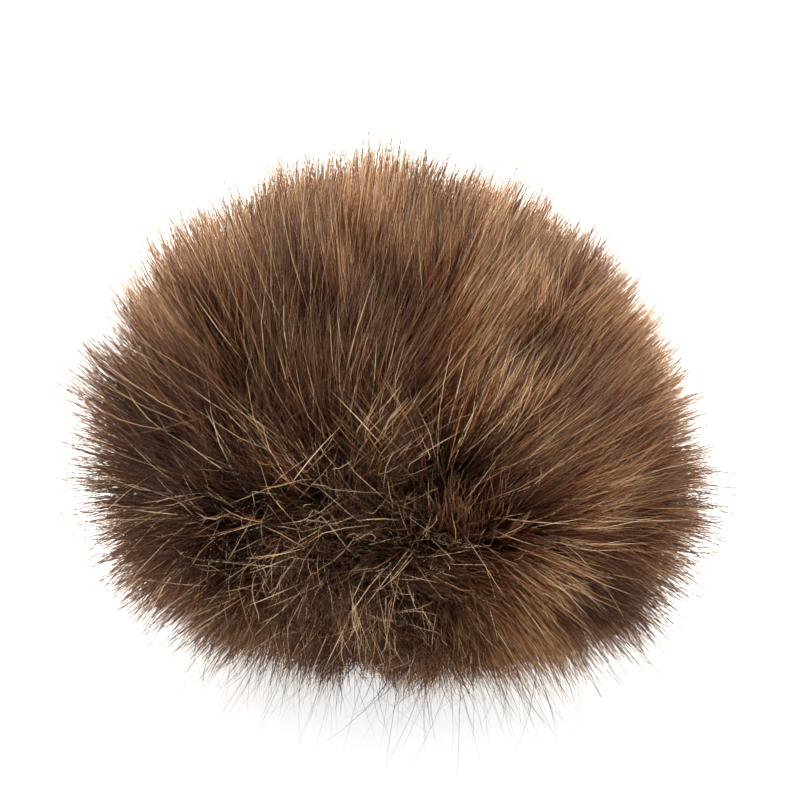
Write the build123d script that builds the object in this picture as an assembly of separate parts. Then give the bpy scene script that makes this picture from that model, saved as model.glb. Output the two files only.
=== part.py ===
"""Furry windscreen for a miniature microphone: a sewn faux-fur cover over a foam ball, in millimetres, +Z up.

The origin is the centre of the resting face, on the axis of the microphone bore. Two bodies share that axis:
the core (foam ball, mesh sleeve, rubber collar) and the cover (two fur panels, their seam and the elastic hem),
which turns on the collar's neck.
"""
from build123d import *
from math import degrees, sqrt
import os

# Fur and backing
FUR_RADIUS = 25.0        # combed fur at its widest
FUR_HEIGHT = 44.0        # resting face to the top of the fur
REST_RADIUS = 11.0       # flat ring of pressed fur that the ball stands on
SEAM_HEIGHT = 19.0       # resting face to the seam between the two fur panels
PILE_DEPTH = 9.0         # combed pile, backing to surface
PRESSED_PILE = 5.4       # pile between the ball's lowest point and the resting face
BACKING = 0.9            # knitted backing's thickness

# Seam between the panels
SEAM_ALLOWANCE = 2.6     # width of the turned-in edges
THREAD_RADIUS = 0.15
STITCH_BITE = 0.1        # how far a tight thread pulls into the cloth
NEEDLE_INSET = 1.5       # needle line, from the allowance's free edge
OVERLOCK_LOOPS = 48

# Hem round the mouth
HEM_TUBE_RADIUS = 1.25   # binding rolled round the elastic
BINDING = 0.45           # binding tape's thickness
LIP_WIDTH = 2.5          # tape's reach over the backing, past the rolled tube
ELASTIC_RADIUS = 0.6
FERRULE_LENGTH = 4.0
ELASTIC_END_GAP = 0.6    # between the two ends, inside the ferrule
HEM_STITCHES = 24
STITCH_LENGTH = 1.4

# Collar and sleeve
MIC_RADIUS = 4.0         # bore that grips the microphone
COLLAR_WALL = 1.1
FLANGE_THICKNESS = 1.2
OUTER_FLANGE_REACH = 2.1  # past the neck, below the hem
INNER_FLANGE_REACH = 2.5  # past the neck, inside the foam
BORE_CHAMFER = 0.4
SLEEVE_EASE = 0.2        # inside of the mesh sleeve, past the bore's radius
SLEEVE_WALL = 0.3
SLEEVE_LENGTH = 13.8     # collar to the sleeve's closed end

# Clearances
TURN_GAP = 0.3           # cover to core, where they pass each other
NECK_GAP = 0.1           # hem to neck, the fit that the cover turns on
HEM_END_GAP = 0.15       # hem to each flange
CHANNEL_GAP = 0.5        # fur to the collar's outer flange

# Worked out from the above
skin_radius = FUR_RADIUS - PILE_DEPTH
skin_up = FUR_HEIGHT - PILE_DEPTH - SEAM_HEIGHT
skin_down = SEAM_HEIGHT - PRESSED_PILE
neck_radius = MIC_RADIUS + COLLAR_WALL
hem_radius = neck_radius + NECK_GAP + HEM_TUBE_RADIUS
backing_edge = hem_radius + HEM_TUBE_RADIUS
lip_edge = backing_edge + LIP_WIDTH
allowance_edge = skin_radius - BACKING - SEAM_ALLOWANCE
channel_radius = neck_radius + OUTER_FLANGE_REACH + CHANNEL_GAP
thread = 2 * THREAD_RADIUS


def below(offset, radius):
    """Height of the skin's lower surface at a radius, with the skin grown by offset."""
    across = radius / (skin_radius + offset)
    return SEAM_HEIGHT - (skin_down + offset) * sqrt(1 - across**2)


hem_height = below(-BACKING / 2, backing_edge)
neck_bottom = hem_height - HEM_TUBE_RADIUS - HEM_END_GAP
neck_top = hem_height + HEM_TUBE_RADIUS + HEM_END_GAP
collar_bottom = neck_bottom - FLANGE_THICKNESS
collar_top = neck_top + FLANGE_THICKNESS
sleeve_radius = MIC_RADIUS + SLEEVE_EASE
sleeve_top = collar_top + SLEEVE_LENGTH


def quarter(radius, reach, flat=0.0):
    """Section on one side of the seam plane: a flat disc's half, then a quarter ellipse out to the radius."""
    start, turn = (90, -90) if reach > 0 else (270, 90)
    rim = EllipticalCenterArc((flat, SEAM_HEIGHT), radius - flat, abs(reach), start, arc_size=turn)
    pole = SEAM_HEIGHT + reach
    edges = [rim, Line((0, SEAM_HEIGHT), (radius, SEAM_HEIGHT)), Line((0, SEAM_HEIGHT), (0, pole))]
    if flat:
        edges.append(Line((0, pole), (flat, pole)))
    return make_face(edges)


def dome(offset=0.0):
    """Section of the ball above the seam, inside the backing's outer surface grown by offset."""
    return quarter(skin_radius + offset, skin_up + offset)


def bowl(offset=0.0):
    """Section of the ball below the seam, inside the backing's outer surface grown by offset."""
    return quarter(skin_radius + offset, -skin_down - offset)


def strip(inner, outer, low, high):
    """Rectangle of a section, between two radii and two heights."""
    return Pos(inner, low) * Rectangle(outer - inner, high - low, align=(Align.MIN, Align.MIN))


def turned(section, arc=360.0):
    """Solid that a section makes as it turns about the axis."""
    return revolve(Plane.XZ * section, Axis.Z, arc)


def hem_circle(radius):
    """Section of a round tube that follows the hem."""
    return Pos(hem_radius, hem_height) * Circle(radius)


def thread_loop(width, height):
    """One closed loop of thread in the XZ plane, centred on the origin."""
    path = Plane.XZ * RectangleRounded(width, height, thread).wire()
    start = path @ 0
    return sweep(Plane(origin=start, z_dir=path % 0) * Circle(THREAD_RADIUS), path)


def upper_pile():
    """Fur of the crown panel, as the closed solid that it fills."""
    return turned(quarter(FUR_RADIUS, FUR_HEIGHT - SEAM_HEIGHT) - dome())


def lower_pile():
    """Fur of the base panel: a bulging side, a flat resting face and a channel for the microphone."""
    fur = quarter(FUR_RADIUS, -SEAM_HEIGHT, REST_RADIUS) - bowl() - strip(0, channel_radius, 0, SEAM_HEIGHT)
    return turned(fur - (bowl(BINDING + thread) & strip(0, lip_edge + thread, 0, SEAM_HEIGHT - BACKING)))


def allowance(low):
    """Section of the seam allowance, turned in from the backing towards the foam."""
    return strip(allowance_edge, skin_radius - BACKING / 2, low, low + BACKING)


def upper_backing(loops):
    """Knitted backing of the crown panel."""
    return turned(dome() - dome(-BACKING) + allowance(SEAM_HEIGHT)) - loops


def lower_backing(loops, stitches):
    """Knitted backing of the base panel, ending in the hem's rolled binding."""
    shell = bowl() - bowl(-BACKING) - strip(0, hem_radius, 0, neck_top) - hem_circle(HEM_TUBE_RADIUS)
    return turned(shell + allowance(SEAM_HEIGHT - BACKING)) - loops - stitches


def seam_overlock():
    """Thread loops that wrap the two turned-in edges and pass through them along the needle line."""
    edge = allowance_edge - THREAD_RADIUS + STITCH_BITE
    width = allowance_edge + NEEDLE_INSET - edge
    height = 2 * BACKING + thread - 2 * STITCH_BITE
    loop = Pos(edge + width / 2, 0, SEAM_HEIGHT) * thread_loop(width, height)
    return [Rot(0, 0, 360 * i / OVERLOCK_LOOPS) * loop for i in range(OVERLOCK_LOOPS)]


def hem_stitches():
    """Short thread loops through both lips of the binding and the backing between them."""
    middle = -BACKING / 2
    radius = backing_edge + LIP_WIDTH * 0.6
    height = below(middle, radius)
    tilt = Vector(radius / (skin_radius + middle) ** 2, 0, (height - SEAM_HEIGHT) / (skin_down + middle) ** 2)
    across = Plane(origin=(radius, 0, height), x_dir=(0, 1, 0), z_dir=tilt.cross(Vector(0, 1, 0)))
    standing = across * Rot(-90, 0, 0)
    loop = standing * thread_loop(STITCH_LENGTH, BACKING + 2 * BINDING + thread - 2 * STITCH_BITE)
    return [Rot(0, 0, 360 * (i + 0.5) / HEM_STITCHES) * loop for i in range(HEM_STITCHES)]


def hem_binding(stitches):
    """Tape rolled round the elastic, with a lip on each face of the backing's edge."""
    reach = strip(backing_edge - BINDING, lip_edge, 0, SEAM_HEIGHT - BACKING)
    outer = (bowl(BINDING) - bowl()) & reach
    inner = (bowl(-BACKING) - bowl(-BACKING - BINDING)) & reach
    tape = hem_circle(HEM_TUBE_RADIUS) + outer + inner - hem_circle(HEM_TUBE_RADIUS - BINDING)
    return turned(tape) - stitches


def hem_elastic():
    """Round elastic, cut to length, its ends meeting in the ferrule."""
    gap = degrees(ELASTIC_END_GAP / hem_radius)
    return Rot(0, 0, gap / 2) * turned(hem_circle(ELASTIC_RADIUS), 360 - gap)


def elastic_ferrule():
    """Crimped tube that joins the elastic's ends inside the rolled hem."""
    arc = degrees(FERRULE_LENGTH / hem_radius)
    wall = hem_circle(HEM_TUBE_RADIUS - BINDING) - hem_circle(ELASTIC_RADIUS)
    return Rot(0, 0, -arc / 2) * turned(wall, arc)


def rubber_collar():
    """Spool-shaped collar: the bore grips the microphone and the hem sits on the neck."""
    spool = strip(MIC_RADIUS, neck_radius, collar_bottom, collar_top)
    spool += strip(MIC_RADIUS, neck_radius + OUTER_FLANGE_REACH, collar_bottom, neck_bottom)
    spool += strip(MIC_RADIUS, neck_radius + INNER_FLANGE_REACH, neck_top, collar_top)
    mouth = spool.vertices().sort_by(Axis.Y)[:2].sort_by(Axis.X)[0]
    return turned(chamfer(mouth, BORE_CHAMFER))


def sleeve_form(radius, top):
    """Section of a round-ended plug from the resting face up to a height."""
    end = Pos(0, top - radius) * Circle(radius) & strip(0, radius, 0, top)
    return strip(0, radius, 0, top - radius) + end


def mic_sleeve():
    """Knitted mesh sock that lines the bore in the foam, its rim held on the collar's inner flange."""
    rim = strip(0, neck_radius + INNER_FLANGE_REACH, collar_top, collar_top + SLEEVE_WALL)
    outside = sleeve_form(sleeve_radius + SLEEVE_WALL, sleeve_top) + rim
    sock = outside - sleeve_form(sleeve_radius, sleeve_top - SLEEVE_WALL)
    return turned(sock - strip(0, neck_radius + INNER_FLANGE_REACH, 0, collar_top))


def foam_core():
    """Open-cell foam ball with room for the seam, the hem's inner lip, the collar and the sleeve."""
    inset = -BACKING - TURN_GAP
    groove = BACKING + thread + TURN_GAP
    foam = dome(inset) + bowl(inset)
    foam -= strip(allowance_edge - thread - TURN_GAP, skin_radius, SEAM_HEIGHT - groove, SEAM_HEIGHT + groove)
    foam -= strip(0, lip_edge + TURN_GAP, 0, SEAM_HEIGHT - groove) - bowl(inset - BINDING - thread)
    foam -= strip(0, backing_edge + TURN_GAP, 0, neck_top)
    foam -= strip(0, neck_radius + INNER_FLANGE_REACH, 0, collar_top + SLEEVE_WALL)
    return turned(foam - sleeve_form(sleeve_radius + SLEEVE_WALL, sleeve_top))


def build():
    loops, stitches = seam_overlock(), hem_stitches()
    return {
        "upper_pile": upper_pile(),
        "lower_pile": lower_pile(),
        "upper_backing": upper_backing(loops),
        "lower_backing": lower_backing(loops, stitches),
        "seam_overlock": Compound(children=loops),
        "hem_binding": hem_binding(stitches),
        "hem_elastic": hem_elastic(),
        "elastic_ferrule": elastic_ferrule(),
        "hem_stitches": Compound(children=stitches),
        "rubber_collar": rubber_collar(),
        "mic_sleeve": mic_sleeve(),
        "foam_core": foam_core(),
    }


os.makedirs("parts", exist_ok=True)
for name, shape in build().items():
    export_step(shape, f"parts/{name}.step")
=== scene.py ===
"""Furry windscreen for a miniature microphone: a sewn cover of faux fur over a foam ball. Metres, +Z up."""
import math

import bmesh
import bpy
import numpy as np
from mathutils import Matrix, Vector


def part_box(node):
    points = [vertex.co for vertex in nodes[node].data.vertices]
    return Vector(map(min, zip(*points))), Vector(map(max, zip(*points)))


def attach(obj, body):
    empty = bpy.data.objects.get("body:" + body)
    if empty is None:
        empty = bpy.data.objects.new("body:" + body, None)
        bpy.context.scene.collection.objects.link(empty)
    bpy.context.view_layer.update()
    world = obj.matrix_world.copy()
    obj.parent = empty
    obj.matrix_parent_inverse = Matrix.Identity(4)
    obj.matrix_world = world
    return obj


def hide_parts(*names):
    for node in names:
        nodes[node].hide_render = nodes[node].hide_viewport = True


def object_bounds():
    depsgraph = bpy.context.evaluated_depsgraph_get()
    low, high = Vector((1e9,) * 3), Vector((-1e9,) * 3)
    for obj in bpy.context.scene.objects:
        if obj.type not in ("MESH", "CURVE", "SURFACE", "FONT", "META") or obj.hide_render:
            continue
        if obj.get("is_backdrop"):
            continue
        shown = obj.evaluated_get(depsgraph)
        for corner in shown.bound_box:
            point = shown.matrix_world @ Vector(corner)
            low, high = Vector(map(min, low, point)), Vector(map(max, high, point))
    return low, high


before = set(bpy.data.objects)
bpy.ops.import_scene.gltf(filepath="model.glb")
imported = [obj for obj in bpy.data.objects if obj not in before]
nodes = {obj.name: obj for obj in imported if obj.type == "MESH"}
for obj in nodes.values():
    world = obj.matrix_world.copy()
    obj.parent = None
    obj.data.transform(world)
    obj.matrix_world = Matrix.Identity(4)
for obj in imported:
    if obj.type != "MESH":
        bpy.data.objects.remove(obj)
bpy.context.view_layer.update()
draw = np.random.default_rng(58)


# ---- Table and light ---------------------------------------------------------------------------------
# A plain pale table top, lit by a bright room and by one wide soft lamp above and a little behind the ball,
# with one behind it that lights the rim and a weak one low in front.
TABLE_HALF = 3.0        # half of the table's width, well past the view

ball_low, ball_high = (np.array(corner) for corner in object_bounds())
ball_middle = Vector((ball_low + ball_high) / 2)


def new_material(name, roughness):
    """A material with one Principled shader; returns the material, its node tree and the shader."""
    material = bpy.data.materials.new(name)
    material.use_nodes = True
    tree = material.node_tree
    shader = tree.nodes["Principled BSDF"]
    shader.inputs["Roughness"].default_value = roughness
    return material, tree, shader


def flat_square(name, half):
    """A square on the resting plane, with this half width."""
    mesh = bpy.data.meshes.new(name)
    corners = [(-half, -half, 0), (half, -half, 0), (half, half, 0), (-half, half, 0)]
    mesh.from_pydata(corners, [], [(0, 1, 2, 3)])
    square = bpy.data.objects.new(name, mesh)
    bpy.context.collection.objects.link(square)
    return square


def soft_lamp(name, place, size, watts, colour):
    """A square area lamp that faces the ball."""
    lamp = bpy.data.lights.new(name, "AREA")
    lamp.size, lamp.energy, lamp.color = size, watts, colour
    holder = bpy.data.objects.new(name, lamp)
    holder.location = place
    holder.rotation_euler = (ball_middle - Vector(place)).to_track_quat("-Z", "Y").to_euler()
    bpy.context.collection.objects.link(holder)


table_paint, table_tree, table_shader = new_material("pale_table", 0.9)
grain = table_tree.nodes.new("ShaderNodeTexNoise")
grain.inputs["Scale"].default_value = 9.0
table_tint = table_tree.nodes.new("ShaderNodeValToRGB")
table_tint.color_ramp.elements[0].color = (0.90, 0.90, 0.895, 1)
table_tint.color_ramp.elements[1].color = (0.93, 0.93, 0.925, 1)
table_tree.links.new(grain.outputs["Fac"], table_tint.inputs["Fac"])
table_tree.links.new(table_tint.outputs["Color"], table_shader.inputs["Base Color"])
table_shader.inputs["Specular IOR Level"].default_value = 0.1
table_shader.inputs["Emission Color"].default_value = (1, 1, 1, 1)
table_shader.inputs["Emission Strength"].default_value = 0.62
table = flat_square("table", TABLE_HALF)
table.data.materials.append(table_paint)
table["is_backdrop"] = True

room = bpy.data.worlds.new("room")
room.use_nodes = True
room.node_tree.nodes["Background"].inputs["Color"].default_value = (0.97, 0.985, 1.0, 1)
room.node_tree.nodes["Background"].inputs["Strength"].default_value = 0.44
bpy.context.scene.world = room
bpy.context.scene.view_settings.view_transform = "Standard"
soft_lamp("top_lamp", (0.04, 0.09, 0.40), 0.50, 3.4, (1.0, 0.97, 0.93))
soft_lamp("back_lamp", (0.03, 0.34, 0.20), 0.60, 8.5, (1.0, 0.96, 0.90))
soft_lamp("front_lamp", (0.10, -0.32, 0.22), 0.16, 0.6, (1.0, 0.98, 0.96))


# ---- Camera ------------------------------------------------------------------------------------------
# It looks down at the ball from a little above table height, through a long lens, and the ball sits just
# below the middle of the picture.
ELEVATION = math.radians(20)
LENS = 0.100            # focal length, in metres
FRAME_WIDTH = 0.064     # what the picture takes in, at the ball
RAISE = 0.0026          # the picture's middle, above the ball's

camera_data = bpy.data.cameras.new("camera")
camera_data.lens = LENS * 1000
camera = bpy.data.objects.new("camera", camera_data)
back_off = FRAME_WIDTH * camera_data.lens / camera_data.sensor_width
towards = Vector((0, -math.cos(ELEVATION), math.sin(ELEVATION)))
picture_up = Vector((0, math.sin(ELEVATION), math.cos(ELEVATION)))
camera.location = ball_middle + towards * back_off + picture_up * RAISE
camera.rotation_euler = (-towards).to_track_quat("-Z", "Y").to_euler()
camera_data.clip_start, camera_data.clip_end = 0.01, 20
bpy.context.collection.objects.link(camera)
bpy.context.scene.camera = camera


# ---- Rubber collar -----------------------------------------------------------------------------------
# Moulded silicone spool that grips the microphone and carries the hem on its neck. Its moulded surface is
# matte and very slightly pitted.
def speckled(name, dark, light, size, roughness, bump):
    """Material whose colour and height wander between two values over spots of this size, in metres."""
    material, tree, shader = new_material(name, roughness)
    place = tree.nodes.new("ShaderNodeTexCoord")
    spots = tree.nodes.new("ShaderNodeTexNoise")
    spots.inputs["Scale"].default_value = 1 / size
    spots.inputs["Detail"].default_value = 4
    tree.links.new(place.outputs["Object"], spots.inputs["Vector"])
    ramp = tree.nodes.new("ShaderNodeValToRGB")
    ramp.color_ramp.elements[0].position, ramp.color_ramp.elements[1].position = 0.3, 0.7
    ramp.color_ramp.elements[0].color, ramp.color_ramp.elements[1].color = (*dark, 1), (*light, 1)
    tree.links.new(spots.outputs["Fac"], ramp.inputs["Fac"])
    tree.links.new(ramp.outputs["Color"], shader.inputs["Base Color"])
    height = tree.nodes.new("ShaderNodeBump")
    height.inputs["Strength"].default_value = bump
    height.inputs["Distance"].default_value = size / 4
    tree.links.new(spots.outputs["Fac"], height.inputs["Height"])
    tree.links.new(height.outputs["Normal"], shader.inputs["Normal"])
    return material


def finish_node(name, material):
    """Gives a CAD node its material."""
    for holder in nodes[name].material_slots:
        holder.material = material
    if not nodes[name].material_slots:
        nodes[name].data.materials.append(material)


silicone = speckled("silicone", (0.012, 0.012, 0.013), (0.022, 0.022, 0.023), 0.0006, 0.55, 0.25)
finish_node("rubber_collar", silicone)


# ---- Mesh sleeve -------------------------------------------------------------------------------------
# Knitted nylon sock that lines the bore in the foam and is closed by a round end. Its rim lies on the
# collar's inner flange.
MESH_CELL = 0.0007      # between the mesh's threads
ROUND_STEPS = 96        # facets round a turned piece


def knitted(name, dark, light, cell, roughness):
    """Material of crossed threads: bands along two diagonals of the piece's own UV map, one cell apart.
    A wave texture's bands are pi / 10 apart at a scale of one."""
    material, tree, shader = new_material(name, roughness)
    place = tree.nodes.new("ShaderNodeUVMap")
    place.uv_map = "cloth"
    heights = []
    for turn in (45, -45):
        lay = tree.nodes.new("ShaderNodeMapping")
        lay.inputs["Rotation"].default_value[2] = math.radians(turn)
        tree.links.new(place.outputs["UV"], lay.inputs["Vector"])
        bands = tree.nodes.new("ShaderNodeTexWave")
        bands.inputs["Scale"].default_value = math.pi / 10 / cell
        bands.inputs["Distortion"].default_value = 0.6
        tree.links.new(lay.outputs["Vector"], bands.inputs["Vector"])
        heights.append(bands.outputs["Fac"])
    top = tree.nodes.new("ShaderNodeMath")
    top.operation = "MAXIMUM"
    tree.links.new(heights[0], top.inputs[0])
    tree.links.new(heights[1], top.inputs[1])
    ramp = tree.nodes.new("ShaderNodeValToRGB")
    ramp.color_ramp.elements[0].position, ramp.color_ramp.elements[1].position = 0.35, 0.9
    ramp.color_ramp.elements[0].color, ramp.color_ramp.elements[1].color = (*dark, 1), (*light, 1)
    tree.links.new(top.outputs[0], ramp.inputs["Fac"])
    tree.links.new(ramp.outputs["Color"], shader.inputs["Base Color"])
    height = tree.nodes.new("ShaderNodeBump")
    height.inputs["Distance"].default_value = cell / 4
    tree.links.new(top.outputs[0], height.inputs["Height"])
    tree.links.new(height.outputs["Normal"], shader.inputs["Normal"])
    return material


def arc(centre, radii, start, end, steps):
    """Points (radius, height) of an ellipse's arc, from one angle to another, in degrees."""
    angle = np.radians(np.linspace(start, end, steps))
    return np.stack([centre[0] + radii[0] * np.cos(angle), centre[1] + radii[1] * np.sin(angle)], 1)


def turned(name, profile, material):
    """Surface that a profile of (radius, height) points makes as it turns about +Z. Points on the axis become
    one pole. UV: round the piece at its widest, and along the profile, both in metres."""
    profile = np.asarray(profile, float)
    steps, count = ROUND_STEPS, len(profile)
    angle = np.linspace(0, 2 * np.pi, steps, endpoint=False)
    radius, height = profile[:, :1], profile[:, 1:]
    rings = np.broadcast_arrays(radius * np.cos(angle), radius * np.sin(angle), height + 0 * angle)
    places = np.stack(rings, 2).reshape(-1, 3)
    row = np.arange(count - 1)[:, None] * steps
    column = np.arange(steps)[None]
    beyond = row + steps
    following = (column + 1) % steps
    quads = np.stack([row + column, row + following, beyond + following, beyond + column], 2).reshape(-1, 4)
    along = np.r_[0, np.cumsum(np.linalg.norm(np.diff(profile, axis=0), axis=1))]
    round_by = 2 * np.pi * profile[:, 0].max() / steps
    u = np.stack([column, column + 1, column + 1, column], 2) * round_by + 0 * row[..., None]
    low, high = along[:-1], along[1:]
    v = np.stack([low, low, high, high], 1)[:, None, :] + 0 * column[..., None]
    mesh = bpy.data.meshes.new(name)
    mesh.from_pydata(places, [], quads.tolist())
    cloth = mesh.uv_layers.new(name="cloth")
    cloth.data.foreach_set("uv", np.stack([u, v], 3).ravel())
    piece = bpy.data.objects.new(name, mesh)
    bpy.context.collection.objects.link(piece)
    welded = bmesh.new()
    welded.from_mesh(mesh)
    bmesh.ops.remove_doubles(welded, verts=welded.verts, dist=1e-6)
    bmesh.ops.recalc_face_normals(welded, faces=welded.faces)
    welded.to_mesh(mesh)
    welded.free()
    mesh.polygons.foreach_set("use_smooth", np.ones(len(mesh.polygons), bool))
    mesh.materials.append(material)
    return piece


sleeve_low, sleeve_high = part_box("mic_sleeve")
SLEEVE_RADIUS = 0.0044   # middle of the sleeve's wall
SLEEVE_THICKNESS = 0.00028
round_end = sleeve_high[2] - SLEEVE_RADIUS
rim_height = sleeve_low[2] + SLEEVE_THICKNESS / 2
sock = np.vstack([
    [(sleeve_high[0], rim_height), (SLEEVE_RADIUS, rim_height)],
    arc((0, round_end), (SLEEVE_RADIUS, SLEEVE_RADIUS - SLEEVE_THICKNESS / 2), 0, 90, 14),
])
sleeve = turned("microphone_sleeve", sock, knitted("nylon_mesh", (0.004,) * 3, (0.05,) * 3, MESH_CELL, 0.7))
wall = sleeve.modifiers.new("wall", "SOLIDIFY")
wall.thickness, wall.offset = SLEEVE_THICKNESS, 0
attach(sleeve, "core")
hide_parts("mic_sleeve")


# ---- Foam ball ---------------------------------------------------------------------------------------
# Ground from open-cell polyurethane foam, with a bore for the sleeve, a seat for the collar and a groove for
# the cover's seam.
FOAM_PORE = 0.0005
GROOVE_FLOOR = 0.0119    # radius at the bottom of the seam's groove
GROOVE_HALF = 0.0015
SHOULDER = 0.0105        # radius of the step that clears the hem's inner lip
CAP_RADIUS = 0.0090      # flat ring round the collar
CAP_DEPTH = 0.0012       # how far the ring stands below its outer edge
CAP_BEVEL = 0.0006       # width of the slope between the two
SEAT_RADIUS = 0.0078     # recess that takes the collar's inner flange
FOAM_INSET = 0.0012      # backing, and the gap that lets the cover turn
FOAM_DOWN = 0.0124       # seam to the foam's lowest point, before the hem's and collar's room was cut
foam_low, foam_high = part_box("foam_core")
seam_z = float(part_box("upper_backing")[0][2])
foam_radius = float(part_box("upper_backing")[1][0]) - FOAM_INSET
foam_up = foam_high[2] - seam_z
bore = SLEEVE_RADIUS + SLEEVE_THICKNESS
groove_up = math.degrees(math.asin(GROOVE_HALF / foam_up))
groove_down = math.degrees(math.asin(GROOVE_HALF / FOAM_DOWN))
base_turn = math.degrees(math.acos(SHOULDER / foam_radius))
seat_height = sleeve_low[2] + SLEEVE_THICKNESS
foam_profile = np.vstack([
    arc((0, seam_z), (foam_radius, foam_up), 90, groove_up, 24),
    [(GROOVE_FLOOR, seam_z + GROOVE_HALF), (GROOVE_FLOOR, seam_z - GROOVE_HALF)],
    arc((0, seam_z), (foam_radius, FOAM_DOWN), -groove_down, -base_turn, 12),
    [(CAP_RADIUS, foam_low[2] + CAP_DEPTH), (CAP_RADIUS - CAP_BEVEL, foam_low[2])],
    [(SEAT_RADIUS, foam_low[2]), (SEAT_RADIUS, seat_height), (bore, seat_height)],
    arc((0, round_end), (bore, bore), 0, 90, 10),
])
foam_skin = speckled("charcoal_foam", (0.006, 0.006, 0.006), (0.05, 0.05, 0.052), FOAM_PORE, 0.95, 1.0)
foam_ball = turned("foam_ball", foam_profile, foam_skin)
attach(foam_ball, "core")
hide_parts("foam_core")


# ---- Knitted backing panels --------------------------------------------------------------------------
# Each panel is a disc of knitted polyester, eased to half of the ball. Its edge is turned in along the seam,
# and the base panel has the mouth cut in it, under the hem.
BACKING = 0.0009
SLACK = 0.96             # share of that thickness that is drawn, so that the two allowances stay apart
ALLOWANCE_EDGE = 0.0125  # radius of the turned-in edge
STITCH_CELL = 0.0006
skin_radius = float(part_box("upper_backing")[1][0])
skin_up = float(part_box("upper_backing")[1][2]) - seam_z
SKIN_DOWN = 0.0136       # seam to the base panel's lowest point, before the mouth was cut
mouth_edge = float(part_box("hem_elastic")[1][0])
middle = BACKING / 2
cloth = knitted("backing_knit", (0.012, 0.008, 0.006), (0.05, 0.033, 0.022), STITCH_CELL, 0.85)


def panel(name, height, turn, rim_z, material):
    """Half of the ball's skin, from the pole to the seam and then in along the seam allowance."""
    shell = arc((0, seam_z), (skin_radius - middle, height - middle), turn, 0, 40)[:-1]
    bend = [(skin_radius - middle, rim_z), (ALLOWANCE_EDGE, rim_z)]
    piece = turned(name, np.vstack([shell, bend]), material)
    wall = piece.modifiers.new("wall", "SOLIDIFY")
    wall.thickness, wall.offset = BACKING * SLACK, 0
    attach(piece, "cover")
    return piece


crown_backing = panel("crown_backing", skin_up, 90, seam_z + middle, cloth)
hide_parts("upper_backing")
mouth_turn = math.degrees(math.acos(mouth_edge / (skin_radius - middle)))
base_backing = panel("base_backing", SKIN_DOWN, -mouth_turn, seam_z - middle, cloth)
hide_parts("lower_backing")


# ---- Seam thread, hem and ferrule --------------------------------------------------------------------
# The panels' edges are overlocked together. The mouth's tape is rolled round an elastic, whose ends meet in a
# crimped brass ferrule, and is sewn through both lips.
thread = speckled("polyester_thread", (0.012, 0.009, 0.007), (0.03, 0.022, 0.016), 0.0002, 0.6, 0.6)
tape = speckled("woven_tape", (0.008, 0.008, 0.009), (0.024, 0.024, 0.026), 0.0003, 0.8, 0.7)
covered_elastic = speckled("covered_elastic", (0.01, 0.01, 0.01), (0.03, 0.03, 0.03), 0.00025, 0.75, 0.6)
brass = speckled("crimped_brass", (0.55, 0.38, 0.15), (0.68, 0.50, 0.24), 0.0004, 0.32, 0.2)
brass.node_tree.nodes["Principled BSDF"].inputs["Metallic"].default_value = 1.0
finish_node("seam_overlock", thread)
finish_node("hem_stitches", thread)
finish_node("hem_binding", tape)
finish_node("hem_elastic", covered_elastic)
finish_node("elastic_ferrule", brass)


# ---- Fur ---------------------------------------------------------------------------------------------
# Acrylic pile, knitted into the backing: short dense underfur, longer guard hairs that gather in locks, and
# long strays. It is combed away from a whorl on the front of the seam, and pressed flat where it rests.
TONE_WIDTH = 0.006       # each strand's share of the colour map's width
LOCK_SPACING = 0.0032    # between the middles of neighbouring locks
TUFT_SPACING = 0.0010    # between the tips of the small tufts in a lock
MOUTH_RADIUS = 0.0105    # no hair is rooted inside this, where the hem's tape lies
CHANNEL_RADIUS = 0.0079  # hair is combed clear of the microphone's channel
FURTHEST = 0.0362        # no stray reaches further than this from the axis
HIGHEST = 0.0550         # or higher than this
EASE_OUT = 0.0300        # where the reach from the axis starts to ease to its limit
EASE_UP = 0.0490         # and the height
TABLE_EASE = 0.0009      # height over which strands ease onto the table
EASE_MIDDLE = 0.0002     # where that easing is half done
TABLE_GAP = 0.0001       # lowest that a strand lies
CRIMP = 0.00022          # how far smooth hair waves to each side
LOCK_VARY = 0.08         # share by which whole locks differ in length
TUFT_VARY = 0.06         # and tufts
CROWN = ("upper_pile", "crown_fur")  # node and slot of the pile on each panel
BASE = ("lower_pile", "base_fur")


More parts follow.
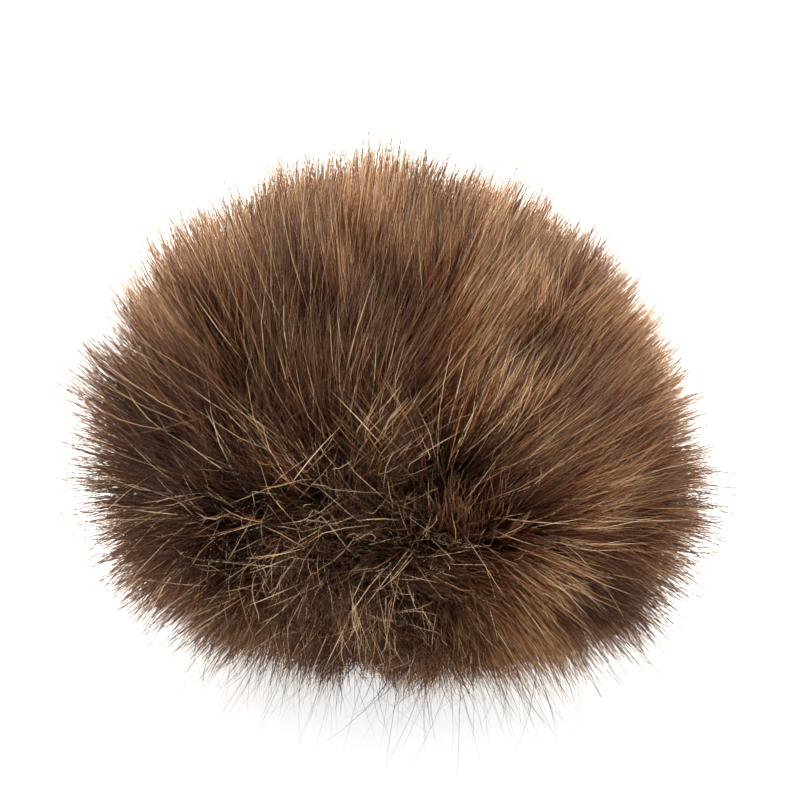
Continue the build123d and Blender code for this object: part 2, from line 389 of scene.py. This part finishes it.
def fur_dye():
    """Colour by the strand's own map: U is the strand's tone, V runs from its root to its tip.
    Root to tip goes from near black through red brown to tan. Tones from 0.64 to 0.81 are golden to pale,
    and tones above 0.83 have black tips."""
    material, tree, shader = new_material("acrylic_pile", 0.45)
    shader.inputs["Specular IOR Level"].default_value = 0.2
    link, new = tree.links.new, tree.nodes.new
    place = new("ShaderNodeUVMap")
    place.uv_map = "OFBake"
    parts = new("ShaderNodeSeparateXYZ")
    link(place.outputs["UV"], parts.inputs["Vector"])

    def ramp(source, stops):
        """Colour ramp over one coordinate, from (position, colour) stops."""
        node = new("ShaderNodeValToRGB")
        elements = node.color_ramp.elements
        while len(elements) < len(stops):
            elements.new(0.5)
        for element, (position, colour) in zip(elements, stops):
            element.position, element.color = position, (*colour, 1)
        link(source, node.inputs["Fac"])
        return node.outputs["Color"]

    length = ramp(parts.outputs["Y"], [
        (0.00, (0.008, 0.0035, 0.0028)),
        (0.30, (0.025, 0.0075, 0.0036)),
        (0.60, (0.088, 0.026, 0.0082)),
        (0.76, (0.175, 0.066, 0.0220)),
        (0.88, (0.390, 0.248, 0.1250)),
        (1.00, (0.770, 0.620, 0.4200)),
    ])
    tone = ramp(parts.outputs["X"], [
        (0.00, (0.30, 0.26, 0.24)),
        (0.25, (0.76, 0.61, 0.52)),
        (0.50, (1.05, 0.95, 0.80)),
        (0.70, (1.35, 1.30, 1.15)),
        (0.80, (1.60, 1.75, 1.75)),
        (0.84, (0.80, 0.75, 0.70)),
        (1.00, (0.45, 0.42, 0.40)),
    ])
    dyed = new("ShaderNodeMix")
    dyed.data_type, dyed.blend_type = "RGBA", "MULTIPLY"
    dyed.inputs["Factor"].default_value = 1.0
    link(length, dyed.inputs[6])
    link(tone, dyed.inputs[7])

    def share(across, along):
        """How much of a second colour shows: a ramp over U times one over V, from (position, share) stops."""
        times = new("ShaderNodeMath")
        times.operation = "MULTIPLY"
        link(ramp(parts.outputs["X"], [(at, (much,) * 3) for at, much in across]), times.inputs[0])
        link(ramp(parts.outputs["Y"], [(at, (much,) * 3) for at, much in along]), times.inputs[1])
        return times.outputs[0]

    pale = new("ShaderNodeMix")
    pale.data_type = "RGBA"
    link(share([(0.60, 0), (0.64, 1), (0.81, 1), (0.83, 0)], [(0.10, 0), (0.45, 1)]), pale.inputs["Factor"])
    link(dyed.outputs[2], pale.inputs[6])
    link(ramp(parts.outputs["X"], [(0.64, (0.42, 0.190, 0.065)), (0.80, (0.80, 0.63, 0.42))]), pale.inputs[7])
    finished = new("ShaderNodeMix")
    finished.data_type = "RGBA"
    link(share([(0.83, 0), (0.85, 1)], [(0.55, 0), (0.80, 1)]), finished.inputs["Factor"])
    link(pale.outputs[2], finished.inputs[6])
    finished.inputs[7].default_value = (0.010, 0.009, 0.009, 1)
    link(finished.outputs[2], shader.inputs["Base Color"])
    return material


def unit(vectors):
    """Vectors scaled to length one."""
    return vectors / np.linalg.norm(vectors, axis=-1, keepdims=True)


def spread(count, low, high):
    """Directions evenly spread over the part of a unit sphere between two heights: a golden-angle spiral,
    with each one moved at random by up to half of its spacing. Rows are sorted round the axis."""
    height = low + (high - low) * (np.arange(count) + 0.5) / count
    turn = np.arange(count) * math.pi * (3 - math.sqrt(5))
    gap = math.sqrt(2 * math.pi * (high - low) / count)
    height = np.clip(height + draw.uniform(-0.5, 0.5, count) * gap * 0.8, low, high)
    turn = turn + draw.uniform(-0.5, 0.5, count) * gap
    across = np.sqrt(1 - height**2)
    found = np.stack([across * np.cos(turn), across * np.sin(turn), height], 1)
    return found[np.argsort(np.arctan2(found[:, 1], found[:, 0]))]


def on_skin(way):
    """Place on the backing's outer surface, and the surface's normal, for a direction on the unit sphere."""
    half_height = np.where(way[:, 2:] > 0, skin_up, SKIN_DOWN)
    size = np.concatenate([np.full((len(way), 2), skin_radius), half_height], 1)
    return way * size + (0, 0, seam_z), unit(way / size)


def comb(normal):
    """Direction that the hair is laid in: away from the whorl at the front, up and to the right on the crown,
    down and outwards on the base, with a smooth change over the seam."""
    crown = np.clip(normal[:, 2:] / 0.5 + 0.5, 0, 1)
    crown = crown * crown * (3 - 2 * crown)
    outwards = normal * (1, 1, 0)
    upper = np.array([0.22, 0.42, 0.42])
    lower = np.array([0.06, 0.16, -0.22]) + 0.20 * outwards
    return upper * crown + lower * (1 - crown)


def ruffle(way):
    """How ruffled the hair is: 1 on a patch at the lower left of the front, easing to 0 round it."""
    near = np.clip((way @ unit(np.array([-0.40, -0.88, -0.16])) - 0.62) / 0.33, 0, 1)
    return near * near * (3 - 2 * near)


def flare(way):
    """1 low on the right, where the hair is longest, easing to 0 round it."""
    return np.clip(way @ unit(np.array([0.80, -0.25, -0.50])), 0, 1) ** 5


def patches(way, places, width):
    """1 at each of some places on the ball, easing to 0 at a distance on the unit sphere:
    (1 - (distance / width)^2)^2."""
    away = np.stack([np.linalg.norm(way - unit(np.array(place)), axis=-1) for place in places]) / width
    return (np.clip(1 - away**2, 0, 1) ** 2).max(0)


def bleached(way):
    """Where locks are golden: three above the whorl, one to its right and one below it."""
    above = [(-0.37, -0.90, 0.22), (-0.12, -0.90, 0.38)]
    right, below = (0.50, -0.86, -0.06), (-0.22, -0.95, -0.20)
    return patches(way, [*above, right, below, (0.30, -0.85, 0.35)], 0.21)


def hollow(way):
    """Where locks have parted and dark roots show: between the golden locks, and to both sides.
    The hair there is cut shorter, and its tone is darkened as painted shade.
    """
    left, right = (-0.52, -0.85, -0.02), (0.62, -0.77, -0.10)
    return patches(way, [(-0.17, -0.94, 0.18), right, left, (0.44, -0.66, 0.56), (0.05, -0.97, -0.20)], 0.26)


def tucked(way):
    """1 under the right of the front, where the ball curls in above the table, easing to 0 round it."""
    return patches(way, [(0.45, -0.42, -0.79)], 0.70)


def trim(way):
    """Share of its full length that the hair has been cut to: shorter underneath, where it is also pressed,
    a little shorter on the crown, to the right, on the ruffled patch and in the hollows, and longest low on
    the right."""
    under, above = np.clip(-way[:, 2], 0, 1), np.clip(way[:, 2], 0, 1)
    sides = 0.32 * flare(way) - 0.19 * way[:, 0] - 0.28 * tucked(way)
    return 1 - 0.60 * under - 0.09 * above + sides - 0.24 * ruffle(way) - 0.30 * hollow(way)


def grow(way, length, steps, lift, wild, own):
    """Paths of strands. Each leaves the skin near its normal and bends over towards the combed direction:
    place(t) = root + length * (start * (t - t^2 / 2) + end * t^2 / 2). wild is how far the directions
    scatter, and own is that scatter, one vector for each strand."""
    root, normal = on_skin(way)
    laid = comb(normal)
    loose = (wild * (1 + 1.3 * ruffle(way)))[:, None]
    start = unit(normal * lift + laid * 0.45 + own * loose * 0.6)
    end = unit(normal * 0.55 * lift + laid * 1.15 + own * loose)
    t = np.linspace(0, 1, steps)[None, :, None]
    along = start[:, None] * (t - t * t / 2) + end[:, None] * (t * t / 2)
    return root[:, None] + length[:, None, None] * along


def nearest(way, middles):
    """Index of the middle nearest to each direction."""
    found = [np.argmax(part @ middles.T, axis=1) for part in np.array_split(way.astype(np.float32), 16)]
    return np.concatenate(found)


def gather(paths, guides, hold, power):
    """Strands drawn towards their guide: place += hold * t^power * (guide - place)."""
    t = np.linspace(0, 1, paths.shape[1])[None, :, None] ** power
    return paths + hold * t * (guides - paths)


def limit(value, start, end):
    """The value up to start; past it, end - (end - start) * exp(-(value - start) / (end - start))."""
    past = np.maximum(value - start, 0) / (end - start)
    return np.where(value > start, end - (end - start) * np.exp(-past), value)


def settle(paths):
    """Strands kept above the table, out of the microphone's channel and within reach of the ball: near the
    table the height eases onto it, the radius is at least the channel's, and far out both ease to a limit."""
    lifted = TABLE_EASE * np.logaddexp(0, (paths[..., 2] - EASE_MIDDLE) / TABLE_EASE) + TABLE_GAP
    lifted = limit(lifted, EASE_UP, HIGHEST)
    away = np.linalg.norm(paths[..., :2], axis=-1)
    reach = np.where(lifted < seam_z, np.maximum(away, CHANNEL_RADIUS), away)
    reach = limit(reach, EASE_OUT, FURTHEST)
    out = paths[..., :2] * (reach / np.maximum(away, 1e-6))[..., None]
    return np.concatenate([out, lifted[..., None]], -1)


def strands(name, paths, radius, tone, taper, material):
    """Closed three-sided tubes along paths, each ending in a point: radius(t) = radius * (1 - t^taper).
    Every ring stands square to the path. U is the strand's tone and V runs from root to tip."""
    count, steps = paths.shape[:2]
    forward = unit(np.gradient(paths, axis=1))
    side = unit(np.cross(forward, unit(draw.normal(size=(count, 1, 3)))))
    up = np.cross(forward, side)
    rings = steps - 1
    t = np.linspace(0, 1, steps)[:rings]
    wide = radius[:, None, None, None] * (1 - t**taper)[None, :, None, None]
    turn = np.radians([0, 120, 240])[None, None, :, None]
    ring = side[:, :rings, None] * np.cos(turn) + up[:, :rings, None] * np.sin(turn)
    corners = (paths[:, :rings, None] + wide * ring).reshape(count, rings * 3, 3)
    places = np.concatenate([corners, paths[:, -1:]], 1)
    k, j = np.divmod(np.arange((rings - 1) * 3), 3)
    here, beside = 3 * k + j, 3 * k + (j + 1) % 3
    last = 3 * (rings - 1) + np.arange(3)
    faces = np.concatenate([
        np.stack([here, beside, beside + 3], 1),
        np.stack([here, beside + 3, here + 3], 1),
        np.stack([last, last[[1, 2, 0]], np.full(3, 3 * rings)], 1),
        [[0, 2, 1]],
    ])
    per_strand = rings * 3 + 1
    index = (faces[None] + np.arange(count)[:, None, None] * per_strand).reshape(-1)
    mesh = bpy.data.meshes.new(name)
    mesh.vertices.add(count * per_strand)
    mesh.vertices.foreach_set("co", places.astype(np.float32).ravel())
    mesh.loops.add(len(index))
    mesh.loops.foreach_set("vertex_index", index.astype(np.int32))
    mesh.polygons.add(len(index) // 3)
    mesh.polygons.foreach_set("loop_start", np.arange(0, len(index), 3, dtype=np.int32))
    mesh.polygons.foreach_set("use_smooth", np.ones(len(index) // 3, bool))
    mesh.update(calc_edges=True)
    v = np.r_[np.repeat(t, 3), 1.0][faces].reshape(-1)
    u = np.r_[np.tile([0, 0.5, 1], rings), 0.5][faces].reshape(-1)
    across = tone[:, None] * (1 - TONE_WIDTH) + u[None] * TONE_WIDTH
    along = 0.01 + 0.98 * v[None] + 0 * tone[:, None]
    tone_map = mesh.uv_layers.new(name="OFBake")
    tone_map.data.foreach_set("uv", np.stack([across, along], 2).astype(np.float32).ravel())
    mesh.materials.append(material)
    piece = bpy.data.objects.new(name, mesh)
    bpy.context.collection.objects.link(piece)
    return piece


dye = fur_dye()
base_edge = -math.sqrt(1 - (MOUTH_RADIUS / skin_radius) ** 2)
lock_middles = spread(int(4 * math.pi * skin_radius**2 / LOCK_SPACING**2), -1, 1)
lock_scatter = draw.normal(size=lock_middles.shape)
lock_tone = draw.normal(size=len(lock_middles))
lock_length = LOCK_VARY * draw.normal(size=len(lock_middles)).clip(-2, 1.5)
tuft_middles = spread(int(4 * math.pi * skin_radius**2 / TUFT_SPACING**2), -1, 1)
tuft_scatter = draw.normal(size=tuft_middles.shape)
tuft_length = TUFT_VARY * draw.normal(size=len(tuft_middles)).clip(-2, 2)
tuft_tone = draw.normal(size=len(tuft_middles))
tuft_lock = nearest(tuft_middles, lock_middles.astype(np.float32))


def everywhere(way):
    """Share of the roots that are kept, for hair that covers its whole band."""
    return np.ones(len(way))


def thinned(way):
    """Share of the roots that are kept, for hair that is sparse on the ruffled patch."""
    return 1 - 0.5 * ruffle(way)


def fringed(way):
    """Share of the roots that are kept, for hair that is densest low on the right."""
    return 0.5 + 0.5 * np.clip(3 * flare(way), 0, 1)


def mostly_ruffled(way):
    """Share of the roots that are kept, for hair that gathers on the ruffled patch."""
    return 0.16 + 0.84 * ruffle(way)


def coat(name, side, band, count, parts, steps, length, vary, radius, wild, tone, taper, lift=1.0,
         hold=(0.0, 0.0), share=everywhere):
    """One kind of hair over a band of one panel, split round the axis into parts. Strands follow the guides of
    their tuft and their lock, so that tips close up and gaps open between them, and hold is how much they
    follow each. vary is how much their length differs, and lift is how steeply they stand."""
    node, slot = side
    way = spread(count, *band)
    way = way[draw.uniform(size=count) < share(way)]
    count = len(way)
    tuft = nearest(way, tuft_middles.astype(np.float32))
    lock = tuft_lock[tuft]
    own_length = vary * draw.normal(size=count).clip(-2, 2)
    shared_length = (lock_length[lock] + tuft_length[tuft]) * (1 + 1.2 * ruffle(way))
    reach = length * trim(way) * (1 + own_length + shared_length)
    own = draw.normal(size=(count, 3))
    paths = grow(way, reach, steps, lift, wild, own * 0.7 + lock_scatter[lock] * 0.45)
    tuft_way = tuft_middles[tuft]
    tuft_guide = grow(tuft_way, reach, steps, lift, wild, tuft_scatter[tuft] * 0.6 + lock_scatter[lock] * 0.6)
    lock_guide = grow(lock_middles[lock], reach, steps, lift, wild, lock_scatter[lock])
    paths = gather(paths, tuft_guide, hold[0], 1.3)
    paths = gather(paths, lock_guide, hold[1], 1.6)
    curl = np.linspace(0, 1, steps)[None, :, None] * 2 * math.pi
    bend = unit(draw.normal(size=(count, 1, 3)))
    crimp = CRIMP * (1 + 1.6 * ruffle(way))[:, None, None]
    paths = paths + bend * crimp * np.sin(curl * draw.uniform(0.4, 1.1, (count, 1, 1)))
    paths = settle(paths)
    shade = tone(way, lock, tuft)
    width = radius * draw.uniform(0.7, 1.25, count)
    for number, members in enumerate(np.array_split(np.arange(count), parts), 1):
        piece = strands(f"{name}_{number}", paths[members], width[members], shade[members], taper, dye)
        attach(piece, "cover")
        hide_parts(node)


def tone_and_painted_light(way):
    """Change of tone over the ball, with painted light in it: painted rim light makes the band that runs over
    the ball from side to side, edge-on to the camera, lightest, and painted shade makes the ruffled patch
    and the hollows darkest. The front of the crown is dark too, and the right side and the underside of the
    front's right are a little lighter."""
    crown = patches(way, [(-0.25, -0.60, 0.76)], 1.0)
    # painted rim light: lighter where the ball's surface is edge-on to the camera
    painted_rim_light = np.clip(1 - (way @ unit(np.array([0, -0.94, 0.34])) / 0.55) ** 2, 0, 1) ** 2
    sides = 0.05 * np.clip(way[:, 0], 0, 1) + 0.21 * painted_rim_light
    # painted shade: darker on the ruffled patch and in the hollows
    return sides - 0.21 * crown + 0.10 * tucked(way) - 0.21 * ruffle(way) - 0.22 * hollow(way)


def soft_tone(way, lock, tuft):
    """Underfur: dark brown, darker in some locks and lighter in the golden ones."""
    # the tone over the ball brings painted rim light and painted shade into this hair's colour
    shade = 0.25 + tone_and_painted_light(way) + 0.10 * bleached(way) + 0.14 * lock_tone[lock]
    shade = shade + 0.09 * draw.normal(size=len(way))
    return shade.clip(0.02, 0.58)


def guard_tone(way, lock, tuft):
    """Guard hair: red brown to tan. Some locks are streaked with golden and pale strands, and black tips are
    commonest low on the right."""
    # the tone over the ball brings painted rim light and painted shade into this hair's colour
    shade = 0.27 + tone_and_painted_light(way) + 0.19 * lock_tone[lock] + 0.07 * tuft_tone[tuft]
    shade = shade + 0.13 * draw.normal(size=len(way))
    chance = draw.uniform(size=len(way))
    golden = (0.05 + 0.06 * lock_tone[lock].clip(-0.8, 3)) * (1 - 0.6 * ruffle(way)) + 0.85 * bleached(way)
    shade = np.where(chance < golden, draw.uniform(0.61, 0.79, len(way)), shade.clip(0.03, 0.58))
    black = 0.03 + 0.06 * np.clip(-way[:, 2], 0, 1) + 0.40 * flare(way)
    return np.where(chance > 1 - black, draw.uniform(0.86, 0.97, len(way)), shade)


def stray_tone(way, lock, tuft):
    """Long strays: on the crown half are brown or pale and half black-tipped, and on the base all are
    black-tipped."""
    chance = draw.uniform(size=len(way)) - 0.25 * np.sign(way[:, 2]) + 0.25
    brown = np.where(chance < 0.35, draw.uniform(0.25, 0.58, len(way)), draw.uniform(0.61, 0.76, len(way)))
    return np.where(chance > 0.50, draw.uniform(0.86, 0.99, len(way)), brown)


def straw_tone(way, lock, tuft):
    """Loose straws: pale."""
    return draw.uniform(0.68, 0.80, len(way))


coat("crown_underfur", CROWN, (0.0, 1.0), count=38000, parts=3, steps=3, length=0.0096, vary=0.16,
     radius=0.000029, wild=0.28, tone=soft_tone, taper=3, hold=(0.32, 0.12))
coat("base_underfur", BASE, (base_edge, 0.0), count=32000, parts=3, steps=3, length=0.0091, vary=0.17,
     radius=0.000029, wild=0.34, tone=soft_tone, taper=3, hold=(0.32, 0.12))
coat("crown_guard_hair", CROWN, (0.0, 1.0), count=20500, parts=3, steps=4, length=0.0105, vary=0.20,
     radius=0.000037, wild=0.25, tone=guard_tone, taper=3, hold=(0.34, 0.22), share=thinned)
coat("base_guard_hair", BASE, (base_edge, 0.0), count=13500, parts=2, steps=5, length=0.0103, vary=0.22,
     radius=0.000039, wild=0.34, tone=guard_tone, taper=3, hold=(0.34, 0.22), share=thinned)
coat("crown_strays", CROWN, (0.0, 1.0), count=4800, parts=1, steps=5, length=0.0154, vary=0.26,
     radius=0.000022, wild=0.34, tone=stray_tone, taper=2, lift=1.6, hold=(0.0, 0.15))
coat("base_strays", BASE, (base_edge, 0.0), count=4400, parts=1, steps=6, length=0.0160, vary=0.26,
     radius=0.000025, wild=0.50, tone=stray_tone, taper=2, lift=1.6, share=fringed)
coat("seam_straws", BASE, (-0.55, 0.30), count=4600, parts=1, steps=6, length=0.0090, vary=0.22,
     radius=0.000043, wild=1.00, tone=straw_tone, taper=3, share=mostly_ruffled)
